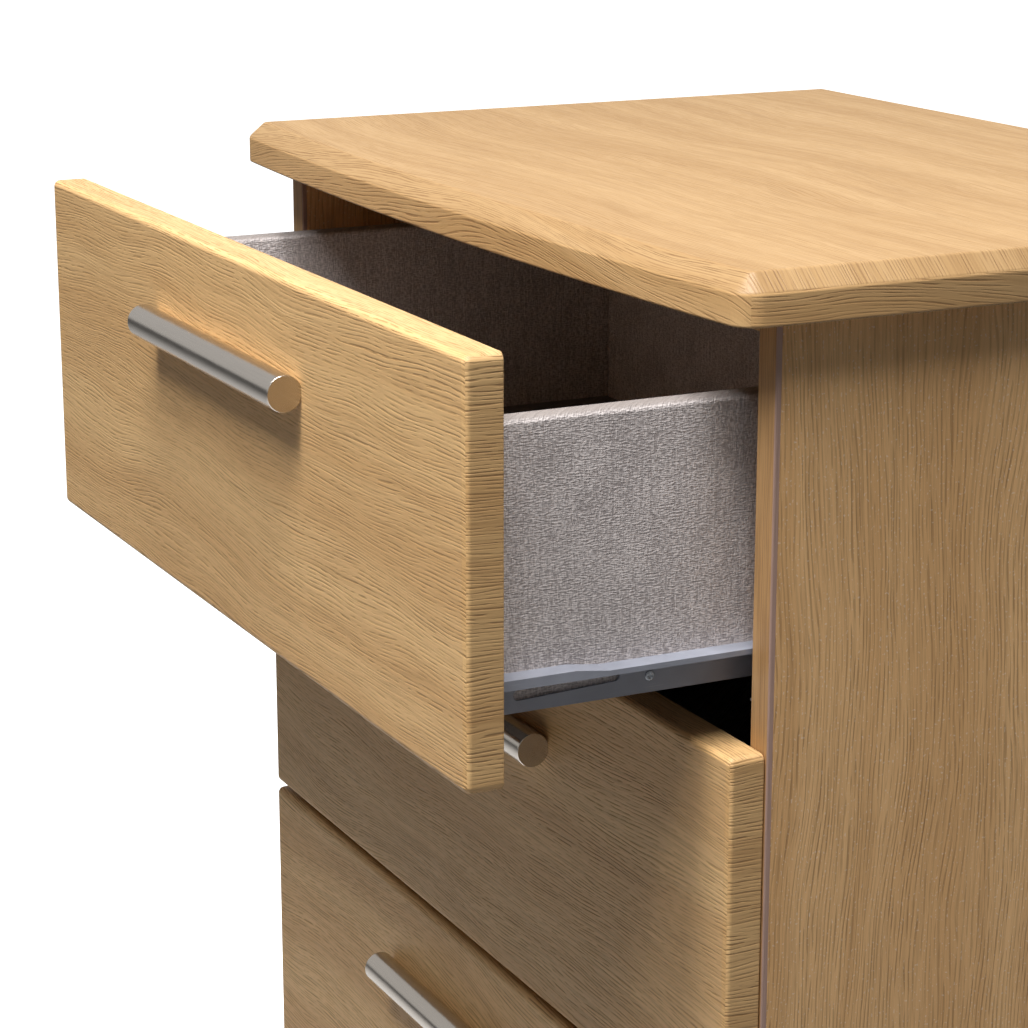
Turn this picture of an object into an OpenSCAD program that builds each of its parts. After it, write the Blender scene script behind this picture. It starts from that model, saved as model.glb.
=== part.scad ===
// Tall chest of drawers: a foil-wrapped board carcass with a bowed and bevelled top,
// and drawers that roll on pressed-steel runners.
// Sizes are in millimetres. X runs across the width, Y from front to back, and Z is up.
// The origin is on the floor, in the middle of the box that holds the whole chest
// with its top drawer pulled open.

/* [Carcass] */
// Number of drawers, one above the other
drawer_count = 5; // [2:1:5]
// Width over the two side panels
carcass_w = 549.5; // [430:0.5:760]
// Depth of the side panels, edge band included
carcass_d = 366; // [300:1:560]
// Thickness of the side, base, rail and plinth boards
panel_t = 15; // [12:0.5:22]
// Height of the base panel's upper face above the floor
plinth_h = 85; // [45:1:160]
// How far the plinth board stands back from the carcass front
plinth_recess = 12; // [2:1:60]
// Thickness of the band on the front edge of each side panel
edge_band_t = 2.8; // [1.1:0.1:3.5]
// Depth of the two rails under the top, front to back
rail_d = 60; // [30:1:90]
// How far the front rail stands back from the carcass front
rail_recess = 20; // [3:0.5:40]
// How far the base panel stands back from the carcass front
base_recess = 3; // [0:0.5:12]
// Thickness of the hardboard back panel
back_panel_t = 3; // [2.5:0.1:6]
// Distance of the back panel from the rear edge of the side panels
back_inset = 8; // [4:0.5:20]
// Depth of the grooves that hold the back panel
back_groove_d = 6; // [3:0.5:8]

/* [Top] */
// Height of the upright edge of the top, below its bevel
top_edge_h = 14.8; // [10:0.1:25]
// Height that the bevel falls
bevel_drop = 8.2; // [2:0.1:12]
// Width of the bevel, seen from above
bevel_w = 8.9; // [2:0.1:11]
// How far the top stands past each side panel
top_side_overhang = 12.75; // [4:0.25:30]
// How far the corners of the top stand past the carcass front
top_front_overhang = 24.3; // [10:0.1:40]
// How far the middle of the front edge bows out past its corners
top_bow = 11.7; // [2:0.1:30]
// How far the top stands past the rear edge of the side panels
top_rear_overhang = 1.7; // [0:0.1:20]
// Radius of the front corners of the top, seen from above
top_corner_r = 12; // [12:0.5:30]

/* [Drawer fronts] */
// Height of one drawer front
front_h = 189; // [130:1:260]
// Thickness of a drawer front
front_t = 18.2; // [14:0.1:25]
// Gap between one drawer front and the next
front_gap = 4; // [2:0.5:8]
// Gap between the top drawer front and the underside of the top
front_top_gap = 2; // [1:0.5:6]
// How far each end of a front stands in from the outside of the side panel
front_inset = 1; // [0:0.25:5]
// Gap between a closed drawer front and the carcass
front_stand_off = 0.5; // [0.3:0.1:3]
// Radius of the rounded edges and corners of a front
front_edge_r = 3.6; // [1.5:0.1:5]

/* [Handle] */
// Length of the handle bar
handle_l = 196; // [120:1:320]
// Diameter of the handle bar
handle_d = 17.7; // [17.2:0.1:24]
// Distance of the bar's axis from the drawer front, less than its radius
handle_axis_out = 8.3; // [5:0.1:8.5]
// Distance of the bar's axis below the top edge of the front
handle_drop = 50; // [20:1:65]
// Distance between the two handle screws
handle_screw_pitch = 160; // [64:1:160]
// Diameter of the handle screws
handle_screw_d = 4; // [3:0.5:5]
// Length of screw held in the handle
handle_screw_grip = 9; // [6:0.5:10]

/* [Drawer box] */
// Thickness of the drawer's side and back boards
box_board_t = 12; // [10:0.5:16]
// How far the box's top edge is below the top edge of the front
box_top_drop = 35; // [24:0.5:60]
// How far the box's side boards end above the bottom edge of the front
box_bottom_rise = 25.2; // [22:0.1:40]
// Free space between the back of the drawer box and the back panel
box_rear_clear = 25; // [5:1:60]
// Thickness of the drawer's bottom panel
bottom_t = 3; // [2.5:0.1:6]
// Height of the bottom panel's groove above the lower edge of the side boards
bottom_rise = 10; // [10:0.5:16]
// Depth of the grooves that hold the bottom panel
bottom_groove_d = 6; // [3:0.5:7]

/* [Runners] */
// Width of the space between drawer box and side panel, which holds one runner
runner_space = 12.75; // [12:0.25:16]
// Thickness of the runners' sheet steel
sheet_t = 1.2; // [0.8:0.1:1.4]
// Height of the drawer runner behind its ramp
member_h = 16.1; // [16:0.1:18]
// How much higher the drawer runner is in front of its ramp
ramp_rise = 2.1; // [1:0.1:5]
// Distance from the drawer front to the start of the ramp
ramp_start = 42; // [30:1:70]
// Length of the ramp
ramp_l = 16; // [6:1:30]
// Width of the drawer runner's foot under the side board
member_foot_w = 10; // [6:0.5:10]
// Length of the drawer runner that stays in the carcass when the drawer is open
runner_overlap = 80; // [60:1:120]
// Diameter of the cabinet runner's front roller
front_roller_d = 14; // [12:0.1:14]
// Diameter of the drawer runner's rear roller
rear_roller_d = 14.6; // [12:0.1:15]
// Diameter of the roller axles
axle_d = 4; // [3:0.1:4.5]
// Length of the slot in the drawer runner
slot_l = 52; // [20:1:56]
// Height of the slot in the drawer runner
slot_h = 5; // [3:0.1:6]
// How much higher the slot's rear end is than its front end
slot_rise = 2.2; // [0:0.1:4]

/* [Rest position] */
// How far the top drawer is pulled out
top_drawer_open = 128; // [0:1:200]

/* [Hidden] */
$fn = 64;
// Distances that stay the same whatever the sizes above are
run_clear = 0.3;          // between a roller and the steel that it runs on
axle_clear = 0.05;        // round an axle in its roller, and round a wood screw
groove_clear = 0.1;       // on each face of a panel in its groove
member_clear = 1.15;      // drawer runner to the cabinet runner's web
channel_clear = 1;        // cabinet runner's flanges to the drawer runner's web
axle_head_t = 0.6;        // thickness of an axle's riveted head
axle_head_over = 1;       // how far an axle's head stands past the axle
head_gap = 0.2;           // axle head to roller
web_gap = 1;              // front axle's head to the drawer runner's web
lip_gap = 0.6;            // front roller to the drawer runner's lip
lip_over_axle = 3;        // lip to the front axle's shoulder
channel_gap = 7.2;        // lip of the drawer runner to the channel below it
member_front_gap = 0.5;   // drawer runner to the back of the front
front_axle_in = 12;       // front roller's axle to the cabinet runner's front end
rear_axle_in = 15;        // rear roller's axle to the drawer runner's rear end
runner_recess = 6;        // cabinet runner to the front of the carcass
ear_l = 28;               // length of the raised ear that carries the front axle
ear_over_axle = 8.4;      // height of that ear above the axle
tab_l = 20;               // length of the tab that carries the rear axle
tab_under_axle = 4.5;     // how far that tab reaches below the axle
stop_h = 3;               // height of the out-stop in the channel
stop_gap = 1;             // rear roller to the out-stop with the drawer open
slot_start = 16;          // drawer front to the slot
slot_z = 7.9;             // height of the middle of the slot's front end above the runner's foot
rivet_t = 0.5;            // height of a screw head on the drawer runner
wood_screw_r = 1.5;       // radius of the wood screws' shanks
wood_screw_head_r = 3;    // radius of the cabinet runners' and rails' screw heads
member_head_r = 2.4;      // radius of the drawer runners' screw heads
wood_screw_in = 8;        // length of a runner screw in its board
cabinet_head_t = 0.8;     // height of a screw head in the cabinet runner
first_screw_in = 35;      // cabinet runner's front end to its first screw
last_screw_in = 71;       // cabinet runner's rear end to its last screw
member_screw_1 = 6;       // drawer front to the runner's first screw
member_screw_low = 2.1;   // how much lower that screw is than the others
member_screw_2 = 83;      // drawer front to the runner's second screw
member_screw_3_in = 60;   // drawer runner's rear end to its last screw
rail_screw_in = 90;       // side panel to a screw through a rail
rail_screw_up = 9;        // length of that screw in the top
pan_head_r = 4;           // radius of a handle screw's head
pan_head_t = 2.4;         // height of a handle screw's head
screw_play = 0.25;        // round a handle screw in the drawer front
front_groove_d = 5;       // depth of the bottom panel's groove in the front
arris_r = 1;              // rounding of the edge band and of the handle's ends
bow_steps = 24;           // flats along the bowed edge of the top
corner_steps = 8;         // flats round each front corner of the top
skin = 0.01;              // thickness of the thin slabs that a hull joins
over = 1;                 // how far a cutting shape passes the face that it cuts

// Heights
top_t = top_edge_h + bevel_drop;
pitch = front_h + front_gap;
side_h = plinth_h + drawer_count * pitch + front_top_gap;
total_h = side_h + top_t;

// Widths
inner_half = carcass_w / 2 - panel_t;
box_half = inner_half - runner_space;
box_inner_half = box_half - box_board_t;
front_w = carcass_w - 2 * front_inset;
top_half = carcass_w / 2 + top_side_overhang;

// Depths, with the origin midway between the open drawer's handle and the top's rear edge
front_reach = max(
    top_drawer_open + front_stand_off + front_t + handle_axis_out + handle_d / 2,
    top_front_overhang + top_bow
);
y_front = (front_reach - carcass_d - top_rear_overhang) / 2;
y_rear = y_front + carcass_d;
y_back_panel = y_rear - back_inset - back_panel_t;
box_l = y_back_panel - box_rear_clear - y_front;
drawer_travel = box_l - runner_overlap;
runner_l = box_l - runner_recess + stop_gap;

// Runner section, measured across from the drawer box and up from the drawer runner's foot
member_w = runner_space - sheet_t - member_clear;
channel_w = runner_space - sheet_t - channel_clear;
roller_in = sheet_t + web_gap + axle_head_t + head_gap;
roller_out = member_w - sheet_t - lip_gap;
axle_r = axle_d / 2;
shoulder_r = axle_r + axle_head_over;
front_axle_z = member_h - sheet_t - run_clear - front_roller_d / 2;
lip_z = front_axle_z + shoulder_r + lip_over_axle;
channel_top_z = lip_z - channel_gap;
rear_axle_z = channel_top_z - sheet_t - run_clear - rear_roller_d / 2;
channel_bottom_z = rear_axle_z - rear_roller_d / 2 - run_clear - sheet_t;
rear_axle_y = box_l - rear_axle_in;
front_axle_y = runner_recess + front_axle_in;
member_screws = [
    [member_screw_1, front_axle_z - member_screw_low],
    [member_screw_2, front_axle_z],
    [box_l - member_screw_3_in, front_axle_z]
];
cabinet_screws = [runner_recess + first_screw_in, runner_recess + runner_l - last_screw_in];
rail_screw_xs = [-(inner_half - rail_screw_in), inner_half - rail_screw_in];
front_rail_y = y_front + rail_recess;
rear_rail_y = y_back_panel - rail_d;

// Colours
oak = "#cfa066";
oak_dark = "#a67f50";
band_brown = "#97807e";
linen = "#bdb1ae";
hardboard = "#8d7a66";
steel = "#7f838c";
zinc = "#b9bcc0";
nickel = "#a9a49b";
nylon = "#e6e4dc";

carcass_nodes = [
    "top_panel", "left_side_panel", "right_side_panel", "side_edge_bands", "back_panel",
    "base_panel", "plinth", "top_rails", "cabinet_runners", "carcass_screws"
];
drawer_parts = [
    "front", "handle", "screws", "left_side", "right_side", "back", "bottom",
    "runners", "rear_rollers", "front_rollers"
];

// ---------------------------------------------------------------- helpers

// A box between two opposite corners.
module block(low, high) {
    translate(low) cube(high - low);
}

// The children and their mirror image in the chest's middle plane.
module both_sides() {
    children();
    mirror([1, 0, 0]) children();
}

// A cylinder along X between two places.
module bar_x(x0, x1, r) {
    translate([x0, 0, 0]) rotate([0, 90, 0]) cylinder(h = x1 - x0, r = r);
}

// A cylinder along Y between two places.
module bar_y(y0, y1, r) {
    translate([0, y0, 0]) rotate([-90, 0, 0]) cylinder(h = y1 - y0, r = r);
}

// A sheet drawn as an outline of [y, z] points, between two places on X.
module side_view(x0, x1, outline) {
    translate([x0, 0, 0]) rotate([90, 0, 90]) linear_extrude(x1 - x0) polygon(outline);
}

// Height of the top edge of drawer front n above the floor; number 1 is the top drawer.
function front_top(n) = side_h - front_top_gap - (n - 1) * pitch;

// Height of the foot of drawer n's runners above the floor.
function foot_z(n) = front_top(n) - front_h + box_bottom_rise - sheet_t;

// How far drawer n is pulled out.
function opened(n) = n == 1 ? top_drawer_open : 0;

// Puts a piece that is drawn from the carcass front and the runner's foot on drawer n.
module on_drawer(n) {
    translate([0, y_front - opened(n), foot_z(n)]) children();
}

// Puts a piece that is drawn the same way on the carcass behind drawer n.
module on_carcass(n) {
    translate([0, y_front, foot_z(n)]) children();
}

// ---------------------------------------------------------------- carcass

// Outline of the top, drawn in from its edge except at the rear.
function top_outline(inset) =
    let (
        bow_r = (top_half * top_half + top_bow * top_bow) / (2 * top_bow),
        bow_y = y_front - top_front_overhang - top_bow + bow_r,
        corner_x = top_half - top_corner_r,
        corner_y = bow_y - sqrt(pow(bow_r - top_corner_r, 2) - corner_x * corner_x),
        swing = atan2(corner_x, bow_y - corner_y),
        r = top_corner_r - inset
    )
    concat(
        [[-(top_half - inset), y_rear + top_rear_overhang]],
        [for (i = [0:corner_steps])
            let (a = 180 + i * (90 - swing) / corner_steps)
            [-corner_x + r * cos(a), corner_y + r * sin(a)]],
        [for (i = [1:bow_steps - 1])
            let (a = 270 - swing + i * 2 * swing / bow_steps)
            [(bow_r - inset) * cos(a), bow_y + (bow_r - inset) * sin(a)]],
        [for (i = [0:corner_steps])
            let (a = 270 + swing + i * (90 - swing) / corner_steps)
            [corner_x + r * cos(a), corner_y + r * sin(a)]],
        [[top_half - inset, y_rear + top_rear_overhang]]
    );

// The bowed top, bevelled along its front and sides.
module top_panel() {
    color(oak) difference() {
        translate([0, 0, side_h]) hull() {
            linear_extrude(top_edge_h) polygon(top_outline(0));
            translate([0, 0, top_t - skin]) linear_extrude(skin) polygon(top_outline(bevel_w));
        }
        rail_screws(wood_screw_r + axle_clear, side_h - over, side_h + rail_screw_up + over);
    }
}

// Upright cylinders at the four places where the rails are screwed to the top.
module rail_screws(r, z0, z1) {
    for (x = rail_screw_xs, y = [front_rail_y, rear_rail_y])
        translate([x, y + rail_d / 2, z0]) cylinder(h = z1 - z0, r = r);
}

// The right-hand side panel, grooved for the back and drilled for the runners.
module side_panel() {
    color(oak_dark) difference() {
        block([inner_half, y_front + edge_band_t, 0], [carcass_w / 2, y_rear, side_h]);
        block(
            [inner_half - over, y_back_panel - groove_clear, plinth_h - panel_t - groove_clear],
            [inner_half + back_groove_d, y_rear - back_inset + groove_clear, side_h + over]
        );
        for (n = [1:drawer_count]) on_carcass(n) for (y = cabinet_screws)
            translate([0, y, rear_axle_z])
                bar_x(inner_half - over, inner_half + wood_screw_in + over, wood_screw_r + axle_clear);
    }
}

// The bands on the front edges of the side panels, each with two rounded arrises.
module side_edge_bands() {
    low = y_front + arris_r;
    color(band_brown) both_sides() linear_extrude(side_h) union() {
        translate([inner_half, low]) square([panel_t, edge_band_t - arris_r]);
        translate([inner_half + arris_r, y_front]) square([panel_t - 2 * arris_r, edge_band_t]);
        for (x = [inner_half + arris_r, inner_half + panel_t - arris_r])
            translate([x, low]) circle(arris_r);
    }
}

// The hardboard back, held in the side panels' grooves above the base.
module back_panel() {
    reach = inner_half + back_groove_d - groove_clear;
    color(hardboard) block(
        [-reach, y_back_panel, plinth_h - panel_t],
        [reach, y_back_panel + back_panel_t, side_h]
    );
}

// The board under the lowest drawer.
module base_panel() {
    color(oak_dark) block(
        [-inner_half, y_front + base_recess, plinth_h - panel_t],
        [inner_half, y_back_panel, plinth_h]
    );
}

// The board between the side panels that closes the foot of the chest.
module plinth() {
    color(oak_dark) block(
        [-inner_half, y_front + plinth_recess, 0],
        [inner_half, y_front + plinth_recess + panel_t, plinth_h - panel_t]
    );
}

// The front and rear rails that tie the side panels together under the top.
module top_rails() {
    color(oak_dark) difference() {
        for (y = [front_rail_y, rear_rail_y])
            block([-inner_half, y, side_h - panel_t], [inner_half, y + rail_d, side_h]);
        rail_screws(wood_screw_r + axle_clear, side_h - panel_t - over, side_h + over);
    }
}

// The right-hand cabinet runner: a channel for the rear roller, with an ear and axle for
// the front roller, a closed rear end and an out-stop.
module cabinet_runner() {
    web_x = inner_half - sheet_t;
    flange_x = inner_half - channel_w;
    head_x = box_half + sheet_t + web_gap;
    y0 = runner_recess;
    y1 = runner_recess + runner_l;
    stop_y = rear_axle_y - drawer_travel - rear_roller_d / 2 - stop_gap;
    floor_z = channel_bottom_z + sheet_t;
    ear_z = front_axle_z + ear_over_axle;
    difference() {
        union() {
            block([web_x, y0, channel_bottom_z], [inner_half, y1, channel_top_z]);
            block([web_x, y0, channel_bottom_z], [inner_half, y0 + ear_l, ear_z]);
            block([flange_x, y0, channel_bottom_z], [inner_half, y1, floor_z]);
            block([flange_x, y0 + ear_l, channel_top_z - sheet_t], [inner_half, y1, channel_top_z]);
            block([flange_x, y1 - sheet_t, channel_bottom_z], [inner_half, y1, channel_top_z]);
            block([flange_x, stop_y - sheet_t, channel_bottom_z], [web_x, stop_y, floor_z + stop_h]);
            translate([0, front_axle_y, front_axle_z]) {
                bar_x(roller_out + box_half + head_gap, inner_half, shoulder_r);
                bar_x(head_x, inner_half, axle_r);
                bar_x(head_x, head_x + axle_head_t, shoulder_r);
            }
        }
        for (y = cabinet_screws)
            translate([0, y, rear_axle_z])
                bar_x(web_x - over, inner_half + over, wood_screw_r + axle_clear);
    }
}

// The cabinet runners of every drawer, two to a drawer.
module cabinet_runners() {
    color(steel) both_sides() for (n = [1:drawer_count]) on_carcass(n) cabinet_runner();
}

// The screws of the cabinet runners and of the two rails.
module carcass_screws() {
    web_x = inner_half - sheet_t;
    color(zinc) {
        both_sides() for (n = [1:drawer_count], y = cabinet_screws)
            on_carcass(n) translate([0, y, rear_axle_z]) {
                bar_x(web_x - cabinet_head_t, web_x, wood_screw_head_r);
                bar_x(web_x - cabinet_head_t, inner_half + wood_screw_in, wood_screw_r);
            }
        rail_screws(wood_screw_r, side_h - panel_t - cabinet_head_t, side_h + rail_screw_up);
        rail_screws(wood_screw_head_r, side_h - panel_t - cabinet_head_t, side_h - panel_t);
    }
}

// ---------------------------------------------------------------- one drawer
// Each piece is drawn with y = 0 at the carcass front, which a closed drawer's front
// stands just clear of, and z = 0 at the foot of the drawer's runners.

box_z = sheet_t;
box_top_z = front_h - box_bottom_rise + sheet_t - box_top_drop;
front_low_z = sheet_t - box_bottom_rise;
front_high_z = front_low_z + front_h;
front_back_y = -front_stand_off;
front_face_y = front_back_y - front_t;
handle_z = front_high_z - handle_drop;
groove_z = box_z + bottom_rise;
bottom_reach = box_inner_half + bottom_groove_d - groove_clear;

// The space that the bottom panel's groove takes in a board.
module bottom_groove(y0, y1) {
    block(
        [-bottom_reach - groove_clear, y0, groove_z - groove_clear],
        [bottom_reach + groove_clear, y1, groove_z + bottom_t + groove_clear]
    );
}

// The front board: its outer face has rounded edges and corners.
module drawer_front() {
    r = front_edge_r;
    half = front_w / 2;
    round_y = front_face_y + r;
    xs = [r - half, half - r];
    zs = [front_low_z + r, front_high_z - r];
    color(oak) difference() {
        union() {
            block([-half, round_y, front_low_z + r], [half, front_back_y, front_high_z - r]);
            block([r - half, round_y, front_low_z], [half - r, front_back_y, front_high_z]);
            block([r - half, front_face_y, zs[0]], [half - r, front_back_y, zs[1]]);
            for (x = xs, z = zs) {
                translate([x, 0, z]) bar_y(round_y, front_back_y, r);
                translate([x, round_y, z]) sphere(r);
            }
            for (z = zs) translate([0, round_y, z]) bar_x(xs[0], xs[1], r);
            for (x = xs) translate([x, round_y, zs[0]]) cylinder(h = zs[1] - zs[0], r = r);
        }
        bottom_groove(front_back_y - front_groove_d - groove_clear, front_back_y + over);
        for (x = [-1, 1]) translate([x * handle_screw_pitch / 2, 0, handle_z])
            bar_y(front_face_y - over, front_back_y + over, handle_screw_d / 2 + screw_play);
    }
}

// The handle: a round bar with a flat that seats on the front, drilled for two screws.
module handle() {
    half = handle_l / 2;
    r = handle_d / 2;
    color(nickel) difference() {
        translate([0, front_face_y - handle_axis_out, handle_z]) difference() {
            bar_x(-half, half, r);
            block([-half - over, handle_axis_out, -r - over], [half + over, r + over, r + over]);
        }
        for (x = [-1, 1]) translate([x * handle_screw_pitch / 2, 0, handle_z])
            bar_y(
                front_face_y - handle_screw_grip - over, front_face_y + over,
                handle_screw_d / 2 + axle_clear
            );
    }
}

// The two handle screws, with their heads inside the drawer, and the runners' six screws.
module drawer_screws() {
    head_x = box_half + sheet_t;
    color(zinc) {
        for (x = [-1, 1]) translate([x * handle_screw_pitch / 2, 0, handle_z]) {
            bar_y(front_face_y - handle_screw_grip, front_back_y + pan_head_t, handle_screw_d / 2);
            bar_y(front_back_y, front_back_y + pan_head_t, pan_head_r);
        }
        both_sides() for (at = member_screws) translate([0, at.x, at.y]) {
            bar_x(head_x, head_x + rivet_t, member_head_r);
            bar_x(box_half - wood_screw_in, head_x + rivet_t, wood_screw_r);
        }
    }
}

// The right-hand side board, grooved for the bottom and drilled for its runner.
module drawer_side() {
    color(linen) difference() {
        block([box_inner_half, front_back_y, box_z], [box_half, box_l, box_top_z]);
        bottom_groove(front_back_y - over, box_l - box_board_t + bottom_groove_d);
        for (at = member_screws) translate([0, at.x, at.y])
            bar_x(box_half - wood_screw_in - over, box_half + over, wood_screw_r + axle_clear);
    }
}

// The back board, between the side boards.
module drawer_back() {
    color(linen) difference() {
        block([-box_inner_half, box_l - box_board_t, box_z], [box_inner_half, box_l, box_top_z]);
        bottom_groove(box_l - box_board_t - over, box_l - box_board_t + bottom_groove_d);
    }
}

// The bottom panel, held in grooves on all four sides.
module drawer_bottom() {
    color(linen) block(
        [-bottom_reach, front_back_y - front_groove_d, groove_z],
        [bottom_reach, box_l - box_board_t + bottom_groove_d - groove_clear, groove_z + bottom_t]
    );
}

// The right-hand drawer runner: a web on the side board, a foot under it, and a flange
// with a turned-down lip that rolls on the front roller and steps up near the front.
module drawer_runner() {
    y0 = member_front_gap - front_stand_off;
    high = member_h + ramp_rise;
    out_x = box_half + member_w;
    axle_end = roller_out + box_half + head_gap;
    ramp_end = ramp_start + ramp_l;
    tab_z = rear_axle_z - tab_under_axle;
    tab_y = rear_axle_y - tab_l / 2;
    upper = [[y0, high], [ramp_start, high], [ramp_end, member_h], [box_l, member_h]];
    under = [for (i = [3:-1:0]) upper[i] - [0, sheet_t]];
    difference() {
        union() {
            side_view(box_half, box_half + sheet_t, concat(upper, [[box_l, 0], [y0, 0]]));
            side_view(box_half, out_x, concat(upper, under));
            side_view(out_x - sheet_t, out_x, concat(upper, [[box_l, lip_z], [y0, lip_z]]));
            block([box_half - member_foot_w, y0, 0], [box_half + sheet_t, box_l, sheet_t]);
            block([box_half, tab_y, tab_z], [box_half + sheet_t, tab_y + tab_l, sheet_t]);
            translate([box_half, rear_axle_y, rear_axle_z]) {
                bar_x(0, roller_in - head_gap, shoulder_r);
                bar_x(0, axle_end - box_half + axle_head_t, axle_r);
                bar_x(axle_end - box_half, axle_end - box_half + axle_head_t, shoulder_r);
            }
        }
        translate([0, slot_start + slot_h / 2, slot_z]) rotate([atan(slot_rise / slot_l), 0, 0]) {
            for (y = [0, slot_l - slot_h]) translate([0, y, 0])
                bar_x(box_half - over, box_half + sheet_t + over, slot_h / 2);
            block(
                [box_half - over, 0, -slot_h / 2],
                [box_half + sheet_t + over, slot_l - slot_h, slot_h / 2]
            );
        }
        for (at = member_screws) translate([0, at.x, at.y])
            bar_x(box_half - over, box_half + sheet_t + over, wood_screw_r + axle_clear);
    }
}

// The two drawer runners of one drawer.
module drawer_runners() {
    color(steel) both_sides() drawer_runner();
}

// Two rollers on one line, left and right.
module roller_pair(y, z, r) {
    color(nylon) both_sides() translate([box_half, y, z]) difference() {
        bar_x(roller_in, roller_out, r);
        bar_x(roller_in - over, roller_out + over, axle_r + axle_clear);
    }
}

// The rollers at the rear of the drawer, which run in the cabinet runners' channels.
module rear_rollers() {
    roller_pair(rear_axle_y, rear_axle_z, rear_roller_d / 2);
}

// The rollers at the front of the carcass, which carry the drawer runners' flanges.
module front_rollers() {
    roller_pair(front_axle_y, front_axle_z, front_roller_d / 2);
}

// ---------------------------------------------------------------- the nodes

top_panel();
mirror([1, 0, 0]) side_panel();  // left_side_panel
side_panel();  // right_side_panel
side_edge_bands();
back_panel();
base_panel();
plinth();
top_rails();
cabinet_runners();
carcass_screws();

for (n = [1:drawer_count]) {
    name = str("drawer_", n, "_");
    on_drawer(n) drawer_front();
    on_drawer(n) handle();
    on_drawer(n) drawer_screws();
    on_drawer(n) mirror([1, 0, 0]) drawer_side();
    on_drawer(n) drawer_side();
    on_drawer(n) drawer_back();
    on_drawer(n) drawer_bottom();
    on_drawer(n) drawer_runners();
    on_drawer(n) rear_rollers();
    on_carcass(n) front_rollers();
}
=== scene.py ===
# %% [markdown]
# # A tall chest of drawers in foiled oak, and how to give it its looks
# The chest stands in a bedroom and holds clothes. Its boards are chipboard wrapped in an
# oak-printed foil, its drawers are boxes of linen-printed board, and each one rolls on
# two pressed-steel runners. The shapes that must fit and move come from the CAD model,
# which is loaded first and never changed. This lesson rebuilds what the eye rests on:
# rounded arrises, printed grain, brushed metal and painted steel.

# %% Load the frame and the tools
import math

import bmesh
import bpy
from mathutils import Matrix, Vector


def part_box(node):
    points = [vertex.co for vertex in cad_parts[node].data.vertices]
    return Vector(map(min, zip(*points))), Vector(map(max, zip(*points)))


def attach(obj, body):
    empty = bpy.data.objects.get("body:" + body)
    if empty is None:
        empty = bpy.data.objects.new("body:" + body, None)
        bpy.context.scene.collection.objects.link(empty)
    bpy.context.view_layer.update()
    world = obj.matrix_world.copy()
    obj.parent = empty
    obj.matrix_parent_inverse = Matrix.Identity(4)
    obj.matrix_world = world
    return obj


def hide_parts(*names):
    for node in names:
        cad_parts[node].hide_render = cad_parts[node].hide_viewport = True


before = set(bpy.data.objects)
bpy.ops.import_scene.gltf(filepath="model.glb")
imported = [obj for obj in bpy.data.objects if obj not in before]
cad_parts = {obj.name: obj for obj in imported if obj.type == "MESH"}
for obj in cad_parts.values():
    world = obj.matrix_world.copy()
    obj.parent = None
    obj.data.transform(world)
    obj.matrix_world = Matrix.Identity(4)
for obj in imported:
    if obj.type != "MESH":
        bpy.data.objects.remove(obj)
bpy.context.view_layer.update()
MM = 0.001

# %% [markdown]
# ## Measures of the chest
# A piece that replaces a CAD node takes its place from that node's box, so the two can't
# drift apart. Only the sizes that a box doesn't show, such as the radius of an arris or
# the bow of the top, are written again here, in metres.

# %% Sizes that a box doesn't show
DRAWERS = [1, 2, 3, 4, 5]
TOP_BOW = 11.7 * MM
TOP_BEVEL_WIDTH = 8.9 * MM
TOP_BEVEL_DROP = 8.2 * MM
TOP_CORNER = 12 * MM
TOP_ARRIS = 1.3 * MM
FRONT_ARRIS = 3.6 * MM
BOX_ARRIS = 3.0 * MM
SHEET_ARRIS = 0.7 * MM
RAIL_DEPTH = 60 * MM
HANDLE_RADIUS = 8.85 * MM
HANDLE_AXIS_OUT = 8.3 * MM
HANDLE_CHAMFER = 0.5 * MM
HANDLE_SCREW_PITCH = 160 * MM
RUNNER_SHEET = 1.2 * MM
AXLE_BORE = 2.05 * MM

# Runner screws, in mm: how far behind the start of the row, and how far above the runner's foot.
SCREW_ROW_START = 0.5 * MM
RUNNER_SCREW_PLACES = [(6, 5.5), (83, 7.6), (270, 7.6)]

# Screw sizes: radius and height of the head, radius and length of the shank.
HANDLE_SCREW = (4 * MM, 2.4 * MM, 2 * MM, 20 * MM)
RUNNER_SCREW = (2.4 * MM, 0.5 * MM, 1.5 * MM, 9 * MM)


def box_of(name):
    """Lowest and highest corner of a CAD node, as plain vectors."""
    low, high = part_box(name)
    return Vector(low), Vector(high)


carcass_front = box_of("side_edge_bands")[0].y
side_top = box_of("right_side_panel")[1].z
print("carcass front at y =", round(carcass_front, 4), "and its top at z =", round(side_top, 4))

# %% [markdown]
# ## The camera
# A furniture picture is taken from a little above the top, from one front corner, with a
# long lens, so that upright edges stay almost parallel. The camera here stands two paces
# away, a hand's length above the top, and looks down on the open top drawer.

# %% Place the camera
camera_data = bpy.data.cameras.new("camera")
camera_data.lens = 101.0
camera_data.sensor_width = 36.0
camera_data.clip_end = 200.0
camera = bpy.data.objects.new("camera", camera_data)
camera.location = (1.3054, -0.7339, 1.2872)
camera.rotation_euler = (math.radians(75.11), 0.0, math.radians(63.79))
bpy.context.scene.collection.objects.link(camera)
bpy.context.scene.camera = camera
bpy.context.scene.view_settings.view_transform = "Standard"
bpy.context.scene.view_settings.look = "None"
print("camera at", tuple(round(c, 3) for c in camera.location), "lens", camera_data.lens)

# %% [markdown]
# ## Wiring nodes by hand
# A material is a small network of nodes. Writing it as code stays readable when one
# helper adds a node and fills its sockets, either with a number or with a wire from
# another node, and a second helper does the same for arithmetic.


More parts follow.
